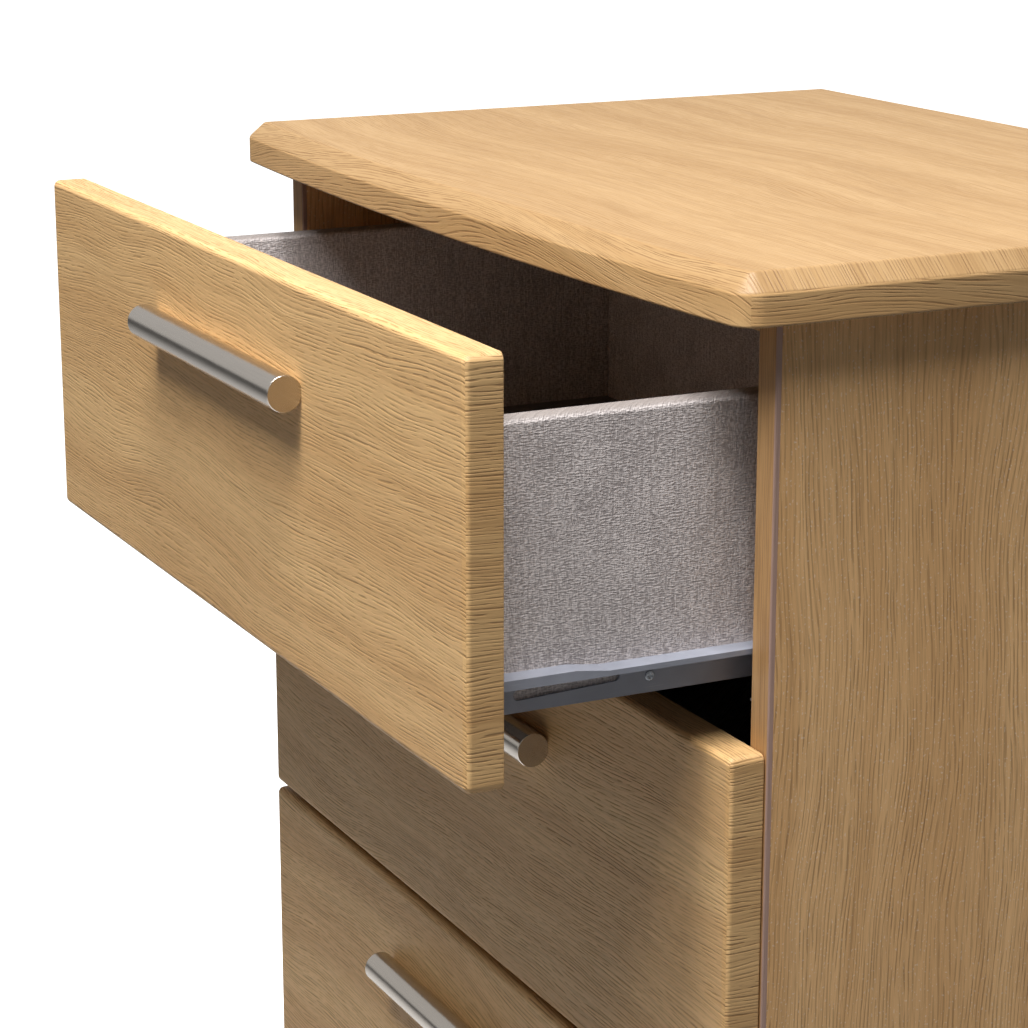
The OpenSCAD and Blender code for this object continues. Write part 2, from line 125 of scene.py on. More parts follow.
# %% Helpers that add nodes
def add_node(tree, kind, sockets=None, **settings):
    """One node, with its sockets set to values or wired to other sockets."""
    made = tree.nodes.new(kind)
    for name, value in settings.items():
        setattr(made, name, value)
    for name, value in (sockets or {}).items():
        if isinstance(value, bpy.types.NodeSocket):
            tree.links.new(value, made.inputs[name])
        else:
            made.inputs[name].default_value = value
    return made


def calc(tree, operation, first, second=0.0, third=0.0):
    """The result of one arithmetic step."""
    made = add_node(tree, "ShaderNodeMath", {0: first, 1: second, 2: third}, operation=operation)
    return made.outputs[0]


def times(tree, first, second):
    """The product of two values."""
    return calc(tree, "MULTIPLY", first, second)


def between(tree, value, low, high, to_low=0.0, to_high=1.0):
    """The value carried from one span to another, with soft ends."""
    made = add_node(
        tree, "ShaderNodeMapRange",
        {"Value": value, "From Min": low, "From Max": high, "To Min": to_low, "To Max": to_high},
        interpolation_type="SMOOTHSTEP",
    )
    return made.outputs["Result"]


def blend_colours(tree, share, first, second, how="MIX"):
    """Two colours mixed by a share from 0 to 1."""
    made = add_node(tree, "ShaderNodeMix", data_type="RGBA", blend_type=how)
    for socket, value in ((0, share), (6, first), (7, second)):
        if isinstance(value, bpy.types.NodeSocket):
            tree.links.new(value, made.inputs[socket])
        else:
            made.inputs[socket].default_value = value
    return made.outputs[2]


def mottle(tree, place, scale, detail=2.0, rough=0.5):
    """Soft noise from about 0 to 1."""
    made = add_node(
        tree, "ShaderNodeTexNoise",
        {"Vector": place, "Scale": scale, "Detail": detail, "Roughness": rough},
    )
    return made.outputs["Fac"]


def colour(red, green, blue):
    """A colour given as it looks on a screen, 0 to 255, as the shader wants it."""
    def linear(c):
        c = c / 255
        return c / 12.92 if c <= 0.04045 else ((c + 0.055) / 1.055) ** 2.4
    return (linear(red), linear(green), linear(blue), 1.0)


# %% [markdown]
# ## Node groups
# Grain, weave and brushing show on many pieces. Each is a node group: it is built once,
# has named inputs, and puts out only colours and masks, so that every material can use it
# with its own values and keep its own shader.


# %% A helper that opens a group
def new_group(name, inputs, outputs):
    """An empty node group with its sockets, and its two end nodes."""
    tree = bpy.data.node_groups.new(name, "ShaderNodeTree")
    for label, kind, default in inputs:
        made = tree.interface.new_socket(name=label, in_out="INPUT", socket_type=kind)
        if default is not None:
            made.default_value = default
    for label, kind in outputs:
        tree.interface.new_socket(name=label, in_out="OUTPUT", socket_type=kind)
    return tree, tree.nodes.new("NodeGroupInput").outputs, tree.nodes.new("NodeGroupOutput").inputs


def use_group(tree, group, sockets):
    """A copy of a group placed in a material."""
    return add_node(tree, "ShaderNodeGroup", sockets, node_tree=group)


FLOAT, VECTOR, COLOUR = "NodeSocketFloat", "NodeSocketVector", "NodeSocketColor"

# %% [markdown]
# ## Which way the grain runs
# Foil is folded round a board, so its grain runs on over the arris instead of ending
# there. On a drawer front it lies level, goes round the ends and over the edges. On a
# side panel it stands upright. A picture laid on the mesh would need unwrapping, but a
# position and a normal are enough to fold the grain round: two numbers, one along the
# grain and one across it, are worked out from them for each kind of board.


# %% Groups that fold the grain round a board
def facing(tree, axis_socket, limit):
    """1 where the surface faces along an axis more than the limit, else 0."""
    return calc(tree, "GREATER_THAN", calc(tree, "ABSOLUTE", axis_socket), limit)


def fold_group(name, fill):
    """A group that turns position and normal into a place in the grain."""
    tree, given, result = new_group(name, [("Seed", FLOAT, 0.0)], [("Grain Place", VECTOR)])
    where = tree.nodes.new("ShaderNodeTexCoord").outputs["Object"]
    turn = tree.nodes.new("ShaderNodeNewGeometry").outputs["Normal"]
    place = add_node(tree, "ShaderNodeSeparateXYZ", {0: where}).outputs
    normal = add_node(tree, "ShaderNodeSeparateXYZ", {0: turn}).outputs
    along, across = fill(tree, place, normal)
    folded = add_node(tree, "ShaderNodeCombineXYZ", {0: along, 1: across, 2: given["Seed"]})
    tree.links.new(folded.outputs[0], result["Grain Place"])
    return tree


def fold_level(tree, place, normal):
    """Level grain, wrapped over the ends and the long edges."""
    not_end = calc(tree, "SUBTRACT", 1.0, facing(tree, normal[0], 0.7))
    across = calc(tree, "MULTIPLY_ADD", place[1], not_end, place[2])
    return calc(tree, "ADD", place[0], place[1]), across


def fold_upright(tree, place, normal):
    """Upright grain, wrapped round the long edges, whichever way the surface faces."""
    return place[2], calc(tree, "ADD", place[0], place[1])


def fold_top(tree, place, normal):
    """Grain along the width of the top, but along the depth on its two ends."""
    end = facing(tree, normal[0], 0.85)
    upright = facing(tree, normal[1], 0.5)
    flat = calc(tree, "ADD", place[1], times(tree, place[2], upright))
    turn = times(tree, calc(tree, "SUBTRACT", place[1], place[0]), end)
    climb = times(tree, calc(tree, "SUBTRACT", place[2], flat), end)
    return calc(tree, "ADD", place[0], turn), calc(tree, "ADD", flat, climb)


level_grain = fold_group("level grain", fold_level)
upright_grain = fold_group("upright grain", fold_upright)
top_grain = fold_group("top grain", fold_top)
print("grain folds:", level_grain.name, upright_grain.name, top_grain.name)

# %% [markdown]
# ## Printed oak
# Oak shows three things at once: broad bands where the board is yellower or pinker, fine
# fibres, and short dark pores that follow the fibres round knots. The foil is embossed in
# register with its print, so each pore is a small hollow too. Straight stripes would look
# like plastic, so the place across the grain is first pushed about by a slow noise, and
# everything finer but the painted glints is drawn on the bent lines. The pores are a sine wave
# across the grain, so that they stand in rows; the rows sway a little, and a noise breaks
# each of them into dashes. A second noise thins the dashes out in patches. Tiny pale specks
# are painted glints: spots of highlight put into the colour.


# %% The oak foil group
def build_oak():
    """Colour, pores and hollows of printed oak."""
    tree, given, result = new_group(
        "oak foil",
        [
            ("Grain Place", VECTOR, None), ("Light Wood", COLOUR, (1, 1, 1, 1)),
            ("Warm Wood", COLOUR, (1, 1, 1, 1)), ("Pore", COLOUR, (0, 0, 0, 1)),
            ("Bend", FLOAT, 0.02), ("Pore Length", FLOAT, 0.016), ("Pore Pitch", FLOAT, 0.0016),
            ("Pore Strength", FLOAT, 0.6), ("Fibre Strength", FLOAT, 0.3),
            ("Fleck Strength", FLOAT, 0.0),
        ],
        [("Colour", COLOUR), ("Hollows", FLOAT), ("Pores", FLOAT)],
    )
    grain = add_node(tree, "ShaderNodeSeparateXYZ", {0: given["Grain Place"]}).outputs
    along, across, seed = grain[0], grain[1], grain[2]

    def noise_at(x, y, layer, detail=2.0, rough=0.5):
        """Soft noise at a place in the grain, on a layer of its own."""
        depth = calc(tree, "ADD", seed, layer)
        where = add_node(tree, "ShaderNodeCombineXYZ", {0: x, 1: y, 2: depth}).outputs[0]
        return mottle(tree, where, 1.0, detail, rough)

    # Bend the lines of the grain.
    slow = noise_at(times(tree, along, 4.0), times(tree, across, 9.0), 0.0, 2.0, 0.35)
    push = times(tree, calc(tree, "SUBTRACT", slow, 0.5), given["Bend"])
    bent = calc(tree, "ADD", across, push)

    # Broad bands of two woods.
    band = noise_at(times(tree, along, 1.7), times(tree, bent, 42.0), 3.7, 3.0, 0.6)
    band_share = between(tree, band, 0.33, 0.67)
    wood = blend_colours(tree, band_share, given["Light Wood"], given["Warm Wood"])

    # Fine fibres.
    fibre = noise_at(times(tree, along, 14.0), times(tree, bent, 620.0), 8.1, 3.0, 0.65)
    fibre_share = times(tree, between(tree, fibre, 0.40, 0.72), given["Fibre Strength"])
    wood = blend_colours(tree, fibre_share, wood, given["Pore"])

    # Pores: rows that sway, broken into dashes and thinned out in patches.
    rows = calc(tree, "DIVIDE", bent, given["Pore Pitch"])
    wander = noise_at(times(tree, along, 16.0), times(tree, rows, 0.22), 4.4, 1.0)
    sway = calc(tree, "MULTIPLY_ADD", wander, 2.6, rows)
    row = between(tree, calc(tree, "SINE", times(tree, sway, 2 * math.pi)), -0.1, 0.95)
    dash = noise_at(calc(tree, "DIVIDE", along, given["Pore Length"]), times(tree, sway, 1.3), 1.3)
    pore = times(tree, row, between(tree, dash, 0.36, 0.60))
    crowd = noise_at(times(tree, along, 6.0), times(tree, bent, 95.0), 5.9)
    pore = times(tree, pore, between(tree, crowd, 0.34, 0.62, 0.5, 1.0))
    wood = blend_colours(tree, times(tree, pore, given["Pore Strength"]), wood, given["Pore"])

    # Painted glints: tiny pale specks of highlight put into the colour.
    painted_glint = noise_at(times(tree, along, 700.0), times(tree, across, 900.0), 2.2, 0.0)
    painted_glint_share = times(tree, between(tree, painted_glint, 0.70, 0.78), given["Fleck Strength"])
    wood = blend_colours(tree, painted_glint_share, wood, (1.0, 0.93, 0.80, 1.0))

    hollow = calc(tree, "SUBTRACT", calc(tree, "SUBTRACT", 1.0, pore), times(tree, fibre, 0.35))
    tree.links.new(wood, result["Colour"])
    tree.links.new(hollow, result["Hollows"])
    tree.links.new(pore, result["Pores"])
    return tree


oak_foil = build_oak()
print("oak foil group has", len(oak_foil.nodes), "nodes")

# %% [markdown]
# ## Printed linen
# The drawer boxes wear a foil printed like grey linen: fine threads both ways, a few of
# them thicker, and a faint cloudiness. Two noises, one stretched upright and one stretched
# level, give threads that swell and thin out as spun ones do. Two plain stripe patterns
# would be cheaper, but they beat against the grid of the render and look like mesh wire.


# %% The linen weave group
def build_linen():
    """Threads of a printed linen, as a colour and a height."""
    tree, given, result = new_group(
        "linen print",
        [("Thread", COLOUR, (1, 1, 1, 1)), ("Gap", COLOUR, (0, 0, 0, 1)), ("Pitch", FLOAT, 0.0011)],
        [("Colour", COLOUR), ("Height", FLOAT)],
    )
    where = tree.nodes.new("ShaderNodeTexCoord").outputs["Object"]
    axes = add_node(tree, "ShaderNodeSeparateXYZ", {0: where}).outputs
    level = calc(tree, "DIVIDE", calc(tree, "ADD", axes[0], axes[1]), given["Pitch"])
    up = calc(tree, "DIVIDE", axes[2], given["Pitch"])

    def threads(x, y, seed):
        """Noise at a place on the cloth, stretched as far as the place is."""
        place = add_node(tree, "ShaderNodeCombineXYZ", {0: x, 1: y, 2: seed}).outputs[0]
        return mottle(tree, place, 1.0, 1.0, 0.4)

    warp = threads(level, times(tree, up, 0.25), 1.0)
    weft = threads(times(tree, level, 0.30), up, 7.0)
    slub = threads(times(tree, level, 0.5), times(tree, up, 0.03), 13.0)
    cloud = threads(times(tree, level, 0.03), times(tree, up, 0.03), 19.0)
    cloth = calc(tree, "ADD", times(tree, warp, 0.42), times(tree, weft, 0.46))
    cloth = calc(tree, "ADD", cloth, times(tree, slub, 0.24))
    cloth = calc(tree, "ADD", cloth, times(tree, cloud, 0.12))
    share = between(tree, cloth, 0.46, 0.80)
    tree.links.new(blend_colours(tree, share, given["Gap"], given["Thread"]), result["Colour"])
    tree.links.new(share, result["Height"])
    return tree


linen_print = build_linen()
print("linen print group has", len(linen_print.nodes), "nodes")

# %% [markdown]
# ## Fine lines left by tools
# Brushed nickel and rolled steel both carry fine lines in one direction. The group
# squeezes a noise along one axis, so the lines run where the brush or the roller went,
# and adds a slow cloud for handling marks.


# %% The tool lines group
def build_tool_lines():
    """Fine lines along the axis that is squeezed most, and a slow cloud."""
    tree, given, result = new_group(
        "tool lines",
        [
            ("Along X", FLOAT, 1.0), ("Along Y", FLOAT, 0.03), ("Along Z", FLOAT, 1.0),
            ("Fineness", FLOAT, 3000.0),
        ],
        [("Lines", FLOAT), ("Cloud", FLOAT)],
    )
    where = tree.nodes.new("ShaderNodeTexCoord").outputs["Object"]
    squeeze = add_node(
        tree, "ShaderNodeCombineXYZ", {0: given["Along X"], 1: given["Along Y"], 2: given["Along Z"]}
    ).outputs[0]
    place = add_node(
        tree, "ShaderNodeVectorMath", {0: where, 1: squeeze}, operation="MULTIPLY"
    ).outputs[0]
    tree.links.new(mottle(tree, place, given["Fineness"], 3.0, 0.6), result["Lines"])
    tree.links.new(mottle(tree, where, 28.0, 3.0, 0.6), result["Cloud"])
    return tree


def tool_marks(tree, fineness, x, y, z):
    """The group's lines, squeezed by a share along each axis, and its cloud."""
    sockets = {"Along X": x, "Along Y": y, "Along Z": z, "Fineness": fineness}
    return use_group(tree, tool_lines, sockets).outputs


tool_lines = build_tool_lines()
print("tool lines group has", len(tool_lines.nodes), "nodes")

# %% [markdown]
# ## Materials
# Each finish is one Principled shader. Its constant values, such as how metallic it is or
# its clear coat, are set on the shader itself, and only what changes over the surface
# comes from the groups.


# %% A helper that opens a material
def new_material(name, **constants):
    """A material with one shader, and its constant sockets filled."""
    made = bpy.data.materials.new(name)
    made.use_nodes = True
    tree = made.node_tree
    shader = tree.nodes["Principled BSDF"]
    for label, value in constants.items():
        shader.inputs[label.replace("_", " ")].default_value = value
    return made, tree, shader


def feed(tree, shader, **wires):
    """Wires results into the sockets of the shader."""
    for label, wire in wires.items():
        tree.links.new(wire, shader.inputs[label.replace("_", " ")])


def emboss(tree, shader, height, depth):
    """Turns a height into a bump on the shader."""
    bump = add_node(tree, "ShaderNodeBump", {"Height": height, "Distance": depth, "Strength": 1.0})
    feed(tree, shader, Normal=bump.outputs["Normal"])


def normal_along(tree, axis):
    """How far the surface faces along an axis, from -1 to 1."""
    normal = tree.nodes.new("ShaderNodeNewGeometry").outputs["Normal"]
    return add_node(tree, "ShaderNodeSeparateXYZ", {0: normal}).outputs[axis]


# %% The oak finishes
def oak_material(name, fold, seed, axis, depth, on_face, on_edge, painted_edge_light, **values):
    """An oak foil whose pores differ where it is stretched over the edges, and whose colour on the edges
    is scaled by painted light: above 1 it paints them lighter, below 1 it paints shade on them.

    The broad faces look along the axis. The values go to the oak group's own sockets.
    """
    made, tree, shader = new_material(name, Specular_IOR_Level=0.35)
    place = use_group(tree, fold, {"Seed": seed}).outputs[0]
    flat = calc(tree, "ABSOLUTE", normal_along(tree, axis))
    sockets = {
        "Grain Place": place,
        "Pore Strength": between(tree, flat, 0.80, 0.98, on_edge, on_face),
    }
    sockets.update({label.replace("_", " "): value for label, value in values.items()})
    oak = use_group(tree, oak_foil, sockets).outputs
    # Painted light and shade on the edges: their colour is scaled by painted_edge_light, lighter on the
    # top's upright edges and darker on the fronts' edges.
    painted_edge_scale = between(tree, flat, 0.2, 0.6, painted_edge_light, 1.0)
    colour_with_painted_edge_light = add_node(
        tree, "ShaderNodeVectorMath", {0: oak["Colour"], "Scale": painted_edge_scale}, operation="SCALE"
    ).outputs[0]
    feed(tree, shader, Base_Color=colour_with_painted_edge_light, Roughness=between(tree, oak["Hollows"], 0.2, 0.9, 0.62, 0.46))
    emboss(tree, shader, oak["Hollows"], depth)
    return made


# Shaded copy of the oak: the top's colours are painted darker than the fronts' and sides', and its
# upright edges are painted 1.7 times lighter.
top_oak = oak_material(
    "oak_on_the_top_painted_darker", top_grain, seed=2.0, axis=2,
    depth=0.00012, on_face=0.28, on_edge=0.60, painted_edge_light=1.7,
    Light_Wood=colour(175, 142, 99), Warm_Wood=colour(163, 129, 86), Pore=colour(104, 70, 38),
    Bend=0.060, Pore_Length=0.016, Pore_Pitch=0.0017, Fibre_Strength=0.24,
)
# Lit copy of the oak: the fronts' colours are painted lighter than the top's, and painted shade darkens
# their edges.
front_oak = oak_material(
    "oak_on_the_fronts_painted_lighter", level_grain, seed=5.0, axis=1,
    depth=0.00017, on_face=0.46, on_edge=0.62, painted_edge_light=0.78,
    Light_Wood=colour(240, 197, 138), Warm_Wood=colour(224, 178, 120), Pore=colour(132, 90, 48),
    Bend=0.046, Pore_Length=0.010, Pore_Pitch=0.0018, Fibre_Strength=0.30,
)
# Lit copy of the oak: the side panels' colours are painted lighter than the top's, with painted glints
# as pale specks.
side_oak = oak_material(
    "oak_on_the_sides_painted_lighter", upright_grain, seed=9.0, axis=0,
    depth=0.00019, on_face=0.44, on_edge=0.50, painted_edge_light=1.0,
    Light_Wood=colour(238, 192, 136), Warm_Wood=colour(225, 177, 121), Pore=colour(140, 98, 56),
    Bend=0.040, Pore_Length=0.018, Pore_Pitch=0.0023, Fibre_Strength=0.30, Fleck_Strength=0.30,
)
print("oak finishes:", top_oak.name, front_oak.name, side_oak.name)

# %% [markdown]
# ## The band on the side panels
# The front edge of each side panel is closed by a plastic band. Its face is printed like
# the oak, and its two thin sides, where it was trimmed, show the mauve-brown core. One
# material gives both, by looking at which way the surface faces.


# %% The edge band finish
def band_material():
    """Oak print on the face of the band, brown plastic on its trimmed sides."""
    made, tree, shader = new_material("edge_band_print", Specular_IOR_Level=0.4)
    place = use_group(tree, upright_grain, {"Seed": 14.0}).outputs[0]
    oak = use_group(tree, oak_foil, {
        "Grain Place": place, "Light Wood": colour(196, 154, 104), "Warm Wood": colour(182, 140, 92),
        "Pore": colour(120, 82, 44), "Bend": 0.01, "Pore Length": 0.03, "Pore Pitch": 0.0016,
        "Pore Strength": 0.5, "Fibre Strength": 0.4,
    }).outputs
    trimmed = between(tree, calc(tree, "ABSOLUTE", normal_along(tree, 0)), 0.15, 0.60)
    lines = tool_marks(tree, 3000.0, 1.0, 1.0, 0.02)
    core = blend_colours(tree, lines["Lines"], colour(158, 128, 114), colour(184, 152, 138))
    tint = blend_colours(tree, trimmed, oak["Colour"], core)
    feed(tree, shader, Base_Color=tint, Roughness=between(tree, lines["Cloud"], 0.3, 0.7, 0.38, 0.5))
    emboss(tree, shader, oak["Hollows"], 0.00008)
    return made


edge_band = band_material()


# %% [markdown]
# ## Boards inside the chest
# Linen-printed board makes the drawer boxes. Its faces that look up, such as its top edge,
# are blended to a plain darker grey: painted shade. The thin bottom sheet wears the same print
# a good deal darker, painted shade so that the inside stays dark. The back is hardboard:
# pressed fibres, smooth but mottled.


# %% The linen and hardboard finishes
def linen_material(name, thread, gap):
    """Linen print, with painted shade: the faces that look up are blended to a plain darker grey."""
    made, tree, shader = new_material(name, Specular_IOR_Level=0.35)
    linen = use_group(tree, linen_print, {"Thread": thread, "Gap": gap, "Pitch": 0.00072}).outputs
    # Painted shade on the upward faces, such as the boards' top edges: they are blended to a plain
    # darker grey where the top light falls.
    painted_shade_up = between(tree, normal_along(tree, 2), 0.3, 0.9, 0.0, 0.85)
    tint = blend_colours(tree, painted_shade_up, linen["Colour"], colour(124, 115, 110))
    feed(tree, shader, Base_Color=tint, Roughness=between(tree, linen["Height"], 0.0, 1.0, 0.62, 0.5))
    emboss(tree, shader, linen["Height"], 0.00022)
    return made


def hardboard_material():
    """Pressed brown fibres."""
    made, tree, shader = new_material("pressed_hardboard", Specular_IOR_Level=0.3)
    where = tree.nodes.new("ShaderNodeTexCoord").outputs["Object"]
    fleece = mottle(tree, where, 420.0, 5.0, 0.7)
    cloud = mottle(tree, where, 14.0, 4.0, 0.6)
    fibre_share = between(tree, fleece, 0.35, 0.7)
    fibre = blend_colours(tree, fibre_share, colour(104, 78, 54), colour(150, 118, 84))
    tint = blend_colours(tree, between(tree, cloud, 0.3, 0.7, 0.0, 0.4), fibre, colour(96, 72, 50))
    feed(tree, shader, Base_Color=tint, Roughness=between(tree, fleece, 0.3, 0.7, 0.72, 0.5))
    emboss(tree, shader, fleece, 0.0001)
    return made


linen_board = linen_material("linen_print_board", colour(228, 219, 216), colour(166, 157, 155))
# Painted shade: the bottom sheet is the same linen print made much darker to stand in for the shade
# inside the box.
shaded_linen_sheet = linen_material("linen_print_sheet_painted_shade", colour(120, 112, 108), colour(84, 78, 75))
hardboard = hardboard_material()


# %% [markdown]
# ## Metal and plastic
# The handles are brushed nickel: the brush went along the bar. The runners are pressed
# steel with a thin grey-blue paint that picks up fine scratches along the way they slide.
# The screws are zinc plated and the rollers are white nylon, a little grey in patches.


# %% The metal and nylon finishes
def nickel_material():
    """Brushed nickel."""
    made, tree, shader = new_material("brushed_nickel", Metallic=1.0)
    lines = tool_marks(tree, 2600.0, 0.02, 1.0, 1.0)["Lines"]
    tint = blend_colours(tree, lines, colour(186, 178, 168), colour(206, 198, 188))
    feed(tree, shader, Base_Color=tint, Roughness=between(tree, lines, 0.25, 0.75, 0.16, 0.26))
    emboss(tree, shader, lines, 0.000012)
    return made


def painted_steel_material():
    """Grey-blue paint over pressed steel, with bright scratches along the slide."""
    made, tree, shader = new_material("painted_steel", Coat_Roughness=0.3)
    marks = tool_marks(tree, 1500.0, 1.0, 0.012, 1.0)
    cloud = marks["Cloud"]
    scratch = between(tree, marks["Lines"], 0.64, 0.76)
    cloud_share = between(tree, cloud, 0.3, 0.7)
    paint = blend_colours(tree, cloud_share, colour(134, 137, 148), colour(150, 153, 164))
    tint = blend_colours(tree, times(tree, scratch, 0.5), paint, colour(196, 198, 202))
    feed(
        tree, shader, Base_Color=tint, Metallic=times(tree, scratch, 0.6),
        Roughness=between(tree, cloud, 0.3, 0.7, 0.32, 0.46),
        Coat_Weight=between(tree, cloud, 0.2, 0.8, 0.25, 0.1),
    )
    emboss(tree, shader, cloud, 0.00004)
    return made


def zinc_material():
    """Zinc plate, slightly uneven."""
    made, tree, shader = new_material("zinc_plate", Metallic=1.0)
    lines = tool_marks(tree, 900.0, 1.0, 1.0, 1.0)["Lines"]
    tint = blend_colours(tree, lines, colour(100, 103, 108), colour(134, 137, 141))
    feed(tree, shader, Base_Color=tint, Roughness=between(tree, lines, 0.3, 0.7, 0.26, 0.42))
    emboss(tree, shader, lines, 0.00002)
    return made


def nylon_material():
    """White nylon, a little grey in patches."""
    made, tree, shader = new_material(
        "white_nylon", Subsurface_Weight=0.15, Subsurface_Radius=(0.002, 0.002, 0.002),
        Specular_IOR_Level=0.45,
    )
    marks = tool_marks(tree, 1800.0, 1.0, 0.3, 0.3)
    grey_share = between(tree, marks["Cloud"], 0.35, 0.75, 0.0, 0.5)
    tint = blend_colours(tree, grey_share, colour(232, 230, 222), colour(206, 203, 192))
    feed(tree, shader, Base_Color=tint, Roughness=between(tree, marks["Lines"], 0.3, 0.7, 0.34, 0.5))
    emboss(tree, shader, marks["Lines"], 0.00003)
    return made


nickel = nickel_material()
painted_steel = painted_steel_material()
zinc = zinc_material()
nylon = nylon_material()
print("materials made:", len(bpy.data.materials))

# %% [markdown]
# ## Lofting: one way to make every turned and wrapped shape
# A board with soft arrises, a bar with a flat and a roller have one thing in common: an
# outline that is repeated a few times, each time a little further on and a little smaller
# or larger. Joining those rings with faces is called lofting. A bevel modifier on a box
# would round the boards as well, but it can't make different radii on front and rear.


# %% Helpers that loft rings into a mesh
def loft(name, rings, material, closed=False):
    """Faces between rings of points, with a cap at each end unless the rings close."""
    count = len(rings[0])
    mesh = bpy.data.meshes.new(name)
    points = [tuple(p) for ring in rings for p in ring]
    faces = []
    steps = len(rings) if closed else len(rings) - 1
    for i in range(steps):
        a, b = i * count, ((i + 1) % len(rings)) * count
        faces += [(a + k, a + (k + 1) % count, b + (k + 1) % count, b + k) for k in range(count)]
    if not closed:
        faces.append(tuple(reversed(range(count))))
        faces.append(tuple(range(len(points) - count, len(points))))
    mesh.from_pydata(points, [], faces)
    return finish_mesh(name, mesh, material)


def finish_mesh(name, mesh, material):
    """Outward faces, smooth arrises beside flat faces, and a finish."""
    work = bmesh.new()
    work.from_mesh(mesh)
    bmesh.ops.recalc_face_normals(work, faces=work.faces)
    work.to_mesh(mesh)
    work.free()
    mesh.polygons.foreach_set("use_smooth", [True] * len(mesh.polygons))
    mesh.materials.append(material)
    made = bpy.data.objects.new(name, mesh)
    bpy.context.scene.collection.objects.link(made)
    flat = made.modifiers.new("flat faces stay flat", "WEIGHTED_NORMAL")
    flat.weight = 100
    return made


def join_meshes(name, parts, material):
    """Several meshes as one piece."""
    work = bmesh.new()
    for part in parts:
        work.from_mesh(part.data)
        bpy.data.objects.remove(part)
    mesh = bpy.data.meshes.new(name)
    work.to_mesh(mesh)
    work.free()
    return finish_mesh(name, mesh, material)


# %% Helpers for outlines and arrises
def round_corners(low, high, radius, inset, steps=5):
    """A rectangle with round corners, drawn in by an inset."""
    r = max(radius - inset, 0.00002)
    points = []
    centres = [
        (high[0] - radius, high[1] - radius, 0), (low[0] + radius, high[1] - radius, 90),
        (low[0] + radius, low[1] + radius, 180), (high[0] - radius, low[1] + radius, 270),
    ]
    for x, y, start in centres:
        for i in range(steps + 1):
            a = math.radians(start + 90 * i / steps)
            points.append((x + r * math.cos(a), y + r * math.sin(a)))
    return points


def arris(radius, steps=4):
    """Insets and heights of a quarter round, from the cap outwards."""
    made = []
    for i in range(steps + 1):
        a = math.radians(90 * i / steps)
        made.append((radius * (1 - math.sin(a)), radius * (1 - math.cos(a))))
    return made


def board(name, low, high, axis, material, corner=0.8 * MM, front=0.6 * MM, rear=0.6 * MM):
    """A board between two corners, with its thickness along an axis and its arrises rounded."""
    flat = [i for i in range(3) if i != axis]
    flat_low, flat_high = [low[i] for i in flat], [high[i] for i in flat]
    corner = max(corner, front, rear) + 0.05 * MM

    def ring(inset, level):
        """The outline at one level, drawn in by an inset."""
        points = []
        for p in round_corners(flat_low, flat_high, corner, inset):
            q = [0.0, 0.0, 0.0]
            q[flat[0]], q[flat[1]], q[axis] = p[0], p[1], level
            points.append(q)
        return points

    rings = [ring(inset, low[axis] + rise) for inset, rise in arris(front)]
    rings += [ring(inset, high[axis] - rise) for inset, rise in reversed(arris(rear))]
    return loft(name, rings, material)


def settle(piece, body, slot, *nodes):
    """Attaches a piece to the body it rides on and hides the CAD nodes it stands for; slot is not used.
    """
    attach(piece, body)
    if nodes:
        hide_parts(*nodes)
    return piece


# %% [markdown]
# ## The top
# The top is the showpiece: its front bows out by a finger's breadth, its front corners
# are round, and a sloping bevel runs along the front and both ends. Foil can't take a
# sharp edge, so each arris is softly rounded. The top is lofted upwards: the same outline
# first goes straight up, then leans in over the bevel and ends in the flat.


# %% Loft the top
def top_outline(half, front_y, rear_y, inset, corner_steps=10, bow_steps=40):
    """The bowed outline of the top, drawn in from its edge except at the rear."""
    bow_r = (half * half + TOP_BOW * TOP_BOW) / (2 * TOP_BOW)
    bow_y = front_y + bow_r
    cx = half - TOP_CORNER
    cy = bow_y - math.sqrt((bow_r - TOP_CORNER) ** 2 - cx * cx)
    swing = math.atan2(cx, bow_y - cy)
    quarter = math.pi / 2 - swing
    r = TOP_CORNER - inset
    left = [math.pi + quarter * i / corner_steps for i in range(corner_steps + 1)]
    bow = [1.5 * math.pi - swing + 2 * swing * i / bow_steps for i in range(1, bow_steps)]
    right = [1.5 * math.pi + swing + quarter * i / corner_steps for i in range(corner_steps + 1)]
    points = [(-(half - inset), rear_y)]
    points += [(-cx + r * math.cos(a), cy + r * math.sin(a)) for a in left]
    points += [((bow_r - inset) * math.cos(a), bow_y + (bow_r - inset) * math.sin(a)) for a in bow]
    points += [(cx + r * math.cos(a), cy + r * math.sin(a)) for a in right]
    points += [(half - inset, rear_y)]
    return points


def soften(path, radius, steps=4):
    """A path of (inset, height) corners with each inner corner rounded."""
    made = [path[0]]
    for before, here, after in zip(path, path[1:], path[2:]):
        a, b, c = Vector(before), Vector(here), Vector(after)
        start, end = b + (a - b).normalized() * radius, b + (c - b).normalized() * radius
        for i in range(steps + 1):
            t = i / steps
            made.append(tuple((1 - t) ** 2 * start + 2 * t * (1 - t) * b + t * t * end))
    return made + [path[-1]]


def build_top():
    """The whole top, from its underside to its flat."""
    low, high = box_of("top_panel")
    edge_top = high.z - TOP_BEVEL_DROP
    path = [
        (4 * MM, low.z), (0.0, low.z), (0.0, edge_top),
        (TOP_BEVEL_WIDTH, high.z), (TOP_BEVEL_WIDTH + 2 * MM, high.z),
    ]
    rings = [
        [(x, y, level) for x, y in top_outline(high.x, low.y, high.y, inset)]
        for inset, level in soften(path, TOP_ARRIS)
    ]
    return loft("bowed_top", rings, top_oak)


bowed_top = settle(build_top(), "carcass", "top_oak", "top_panel")
print("top:", len(bowed_top.data.vertices), "points, bowed", TOP_BOW / MM, "mm")

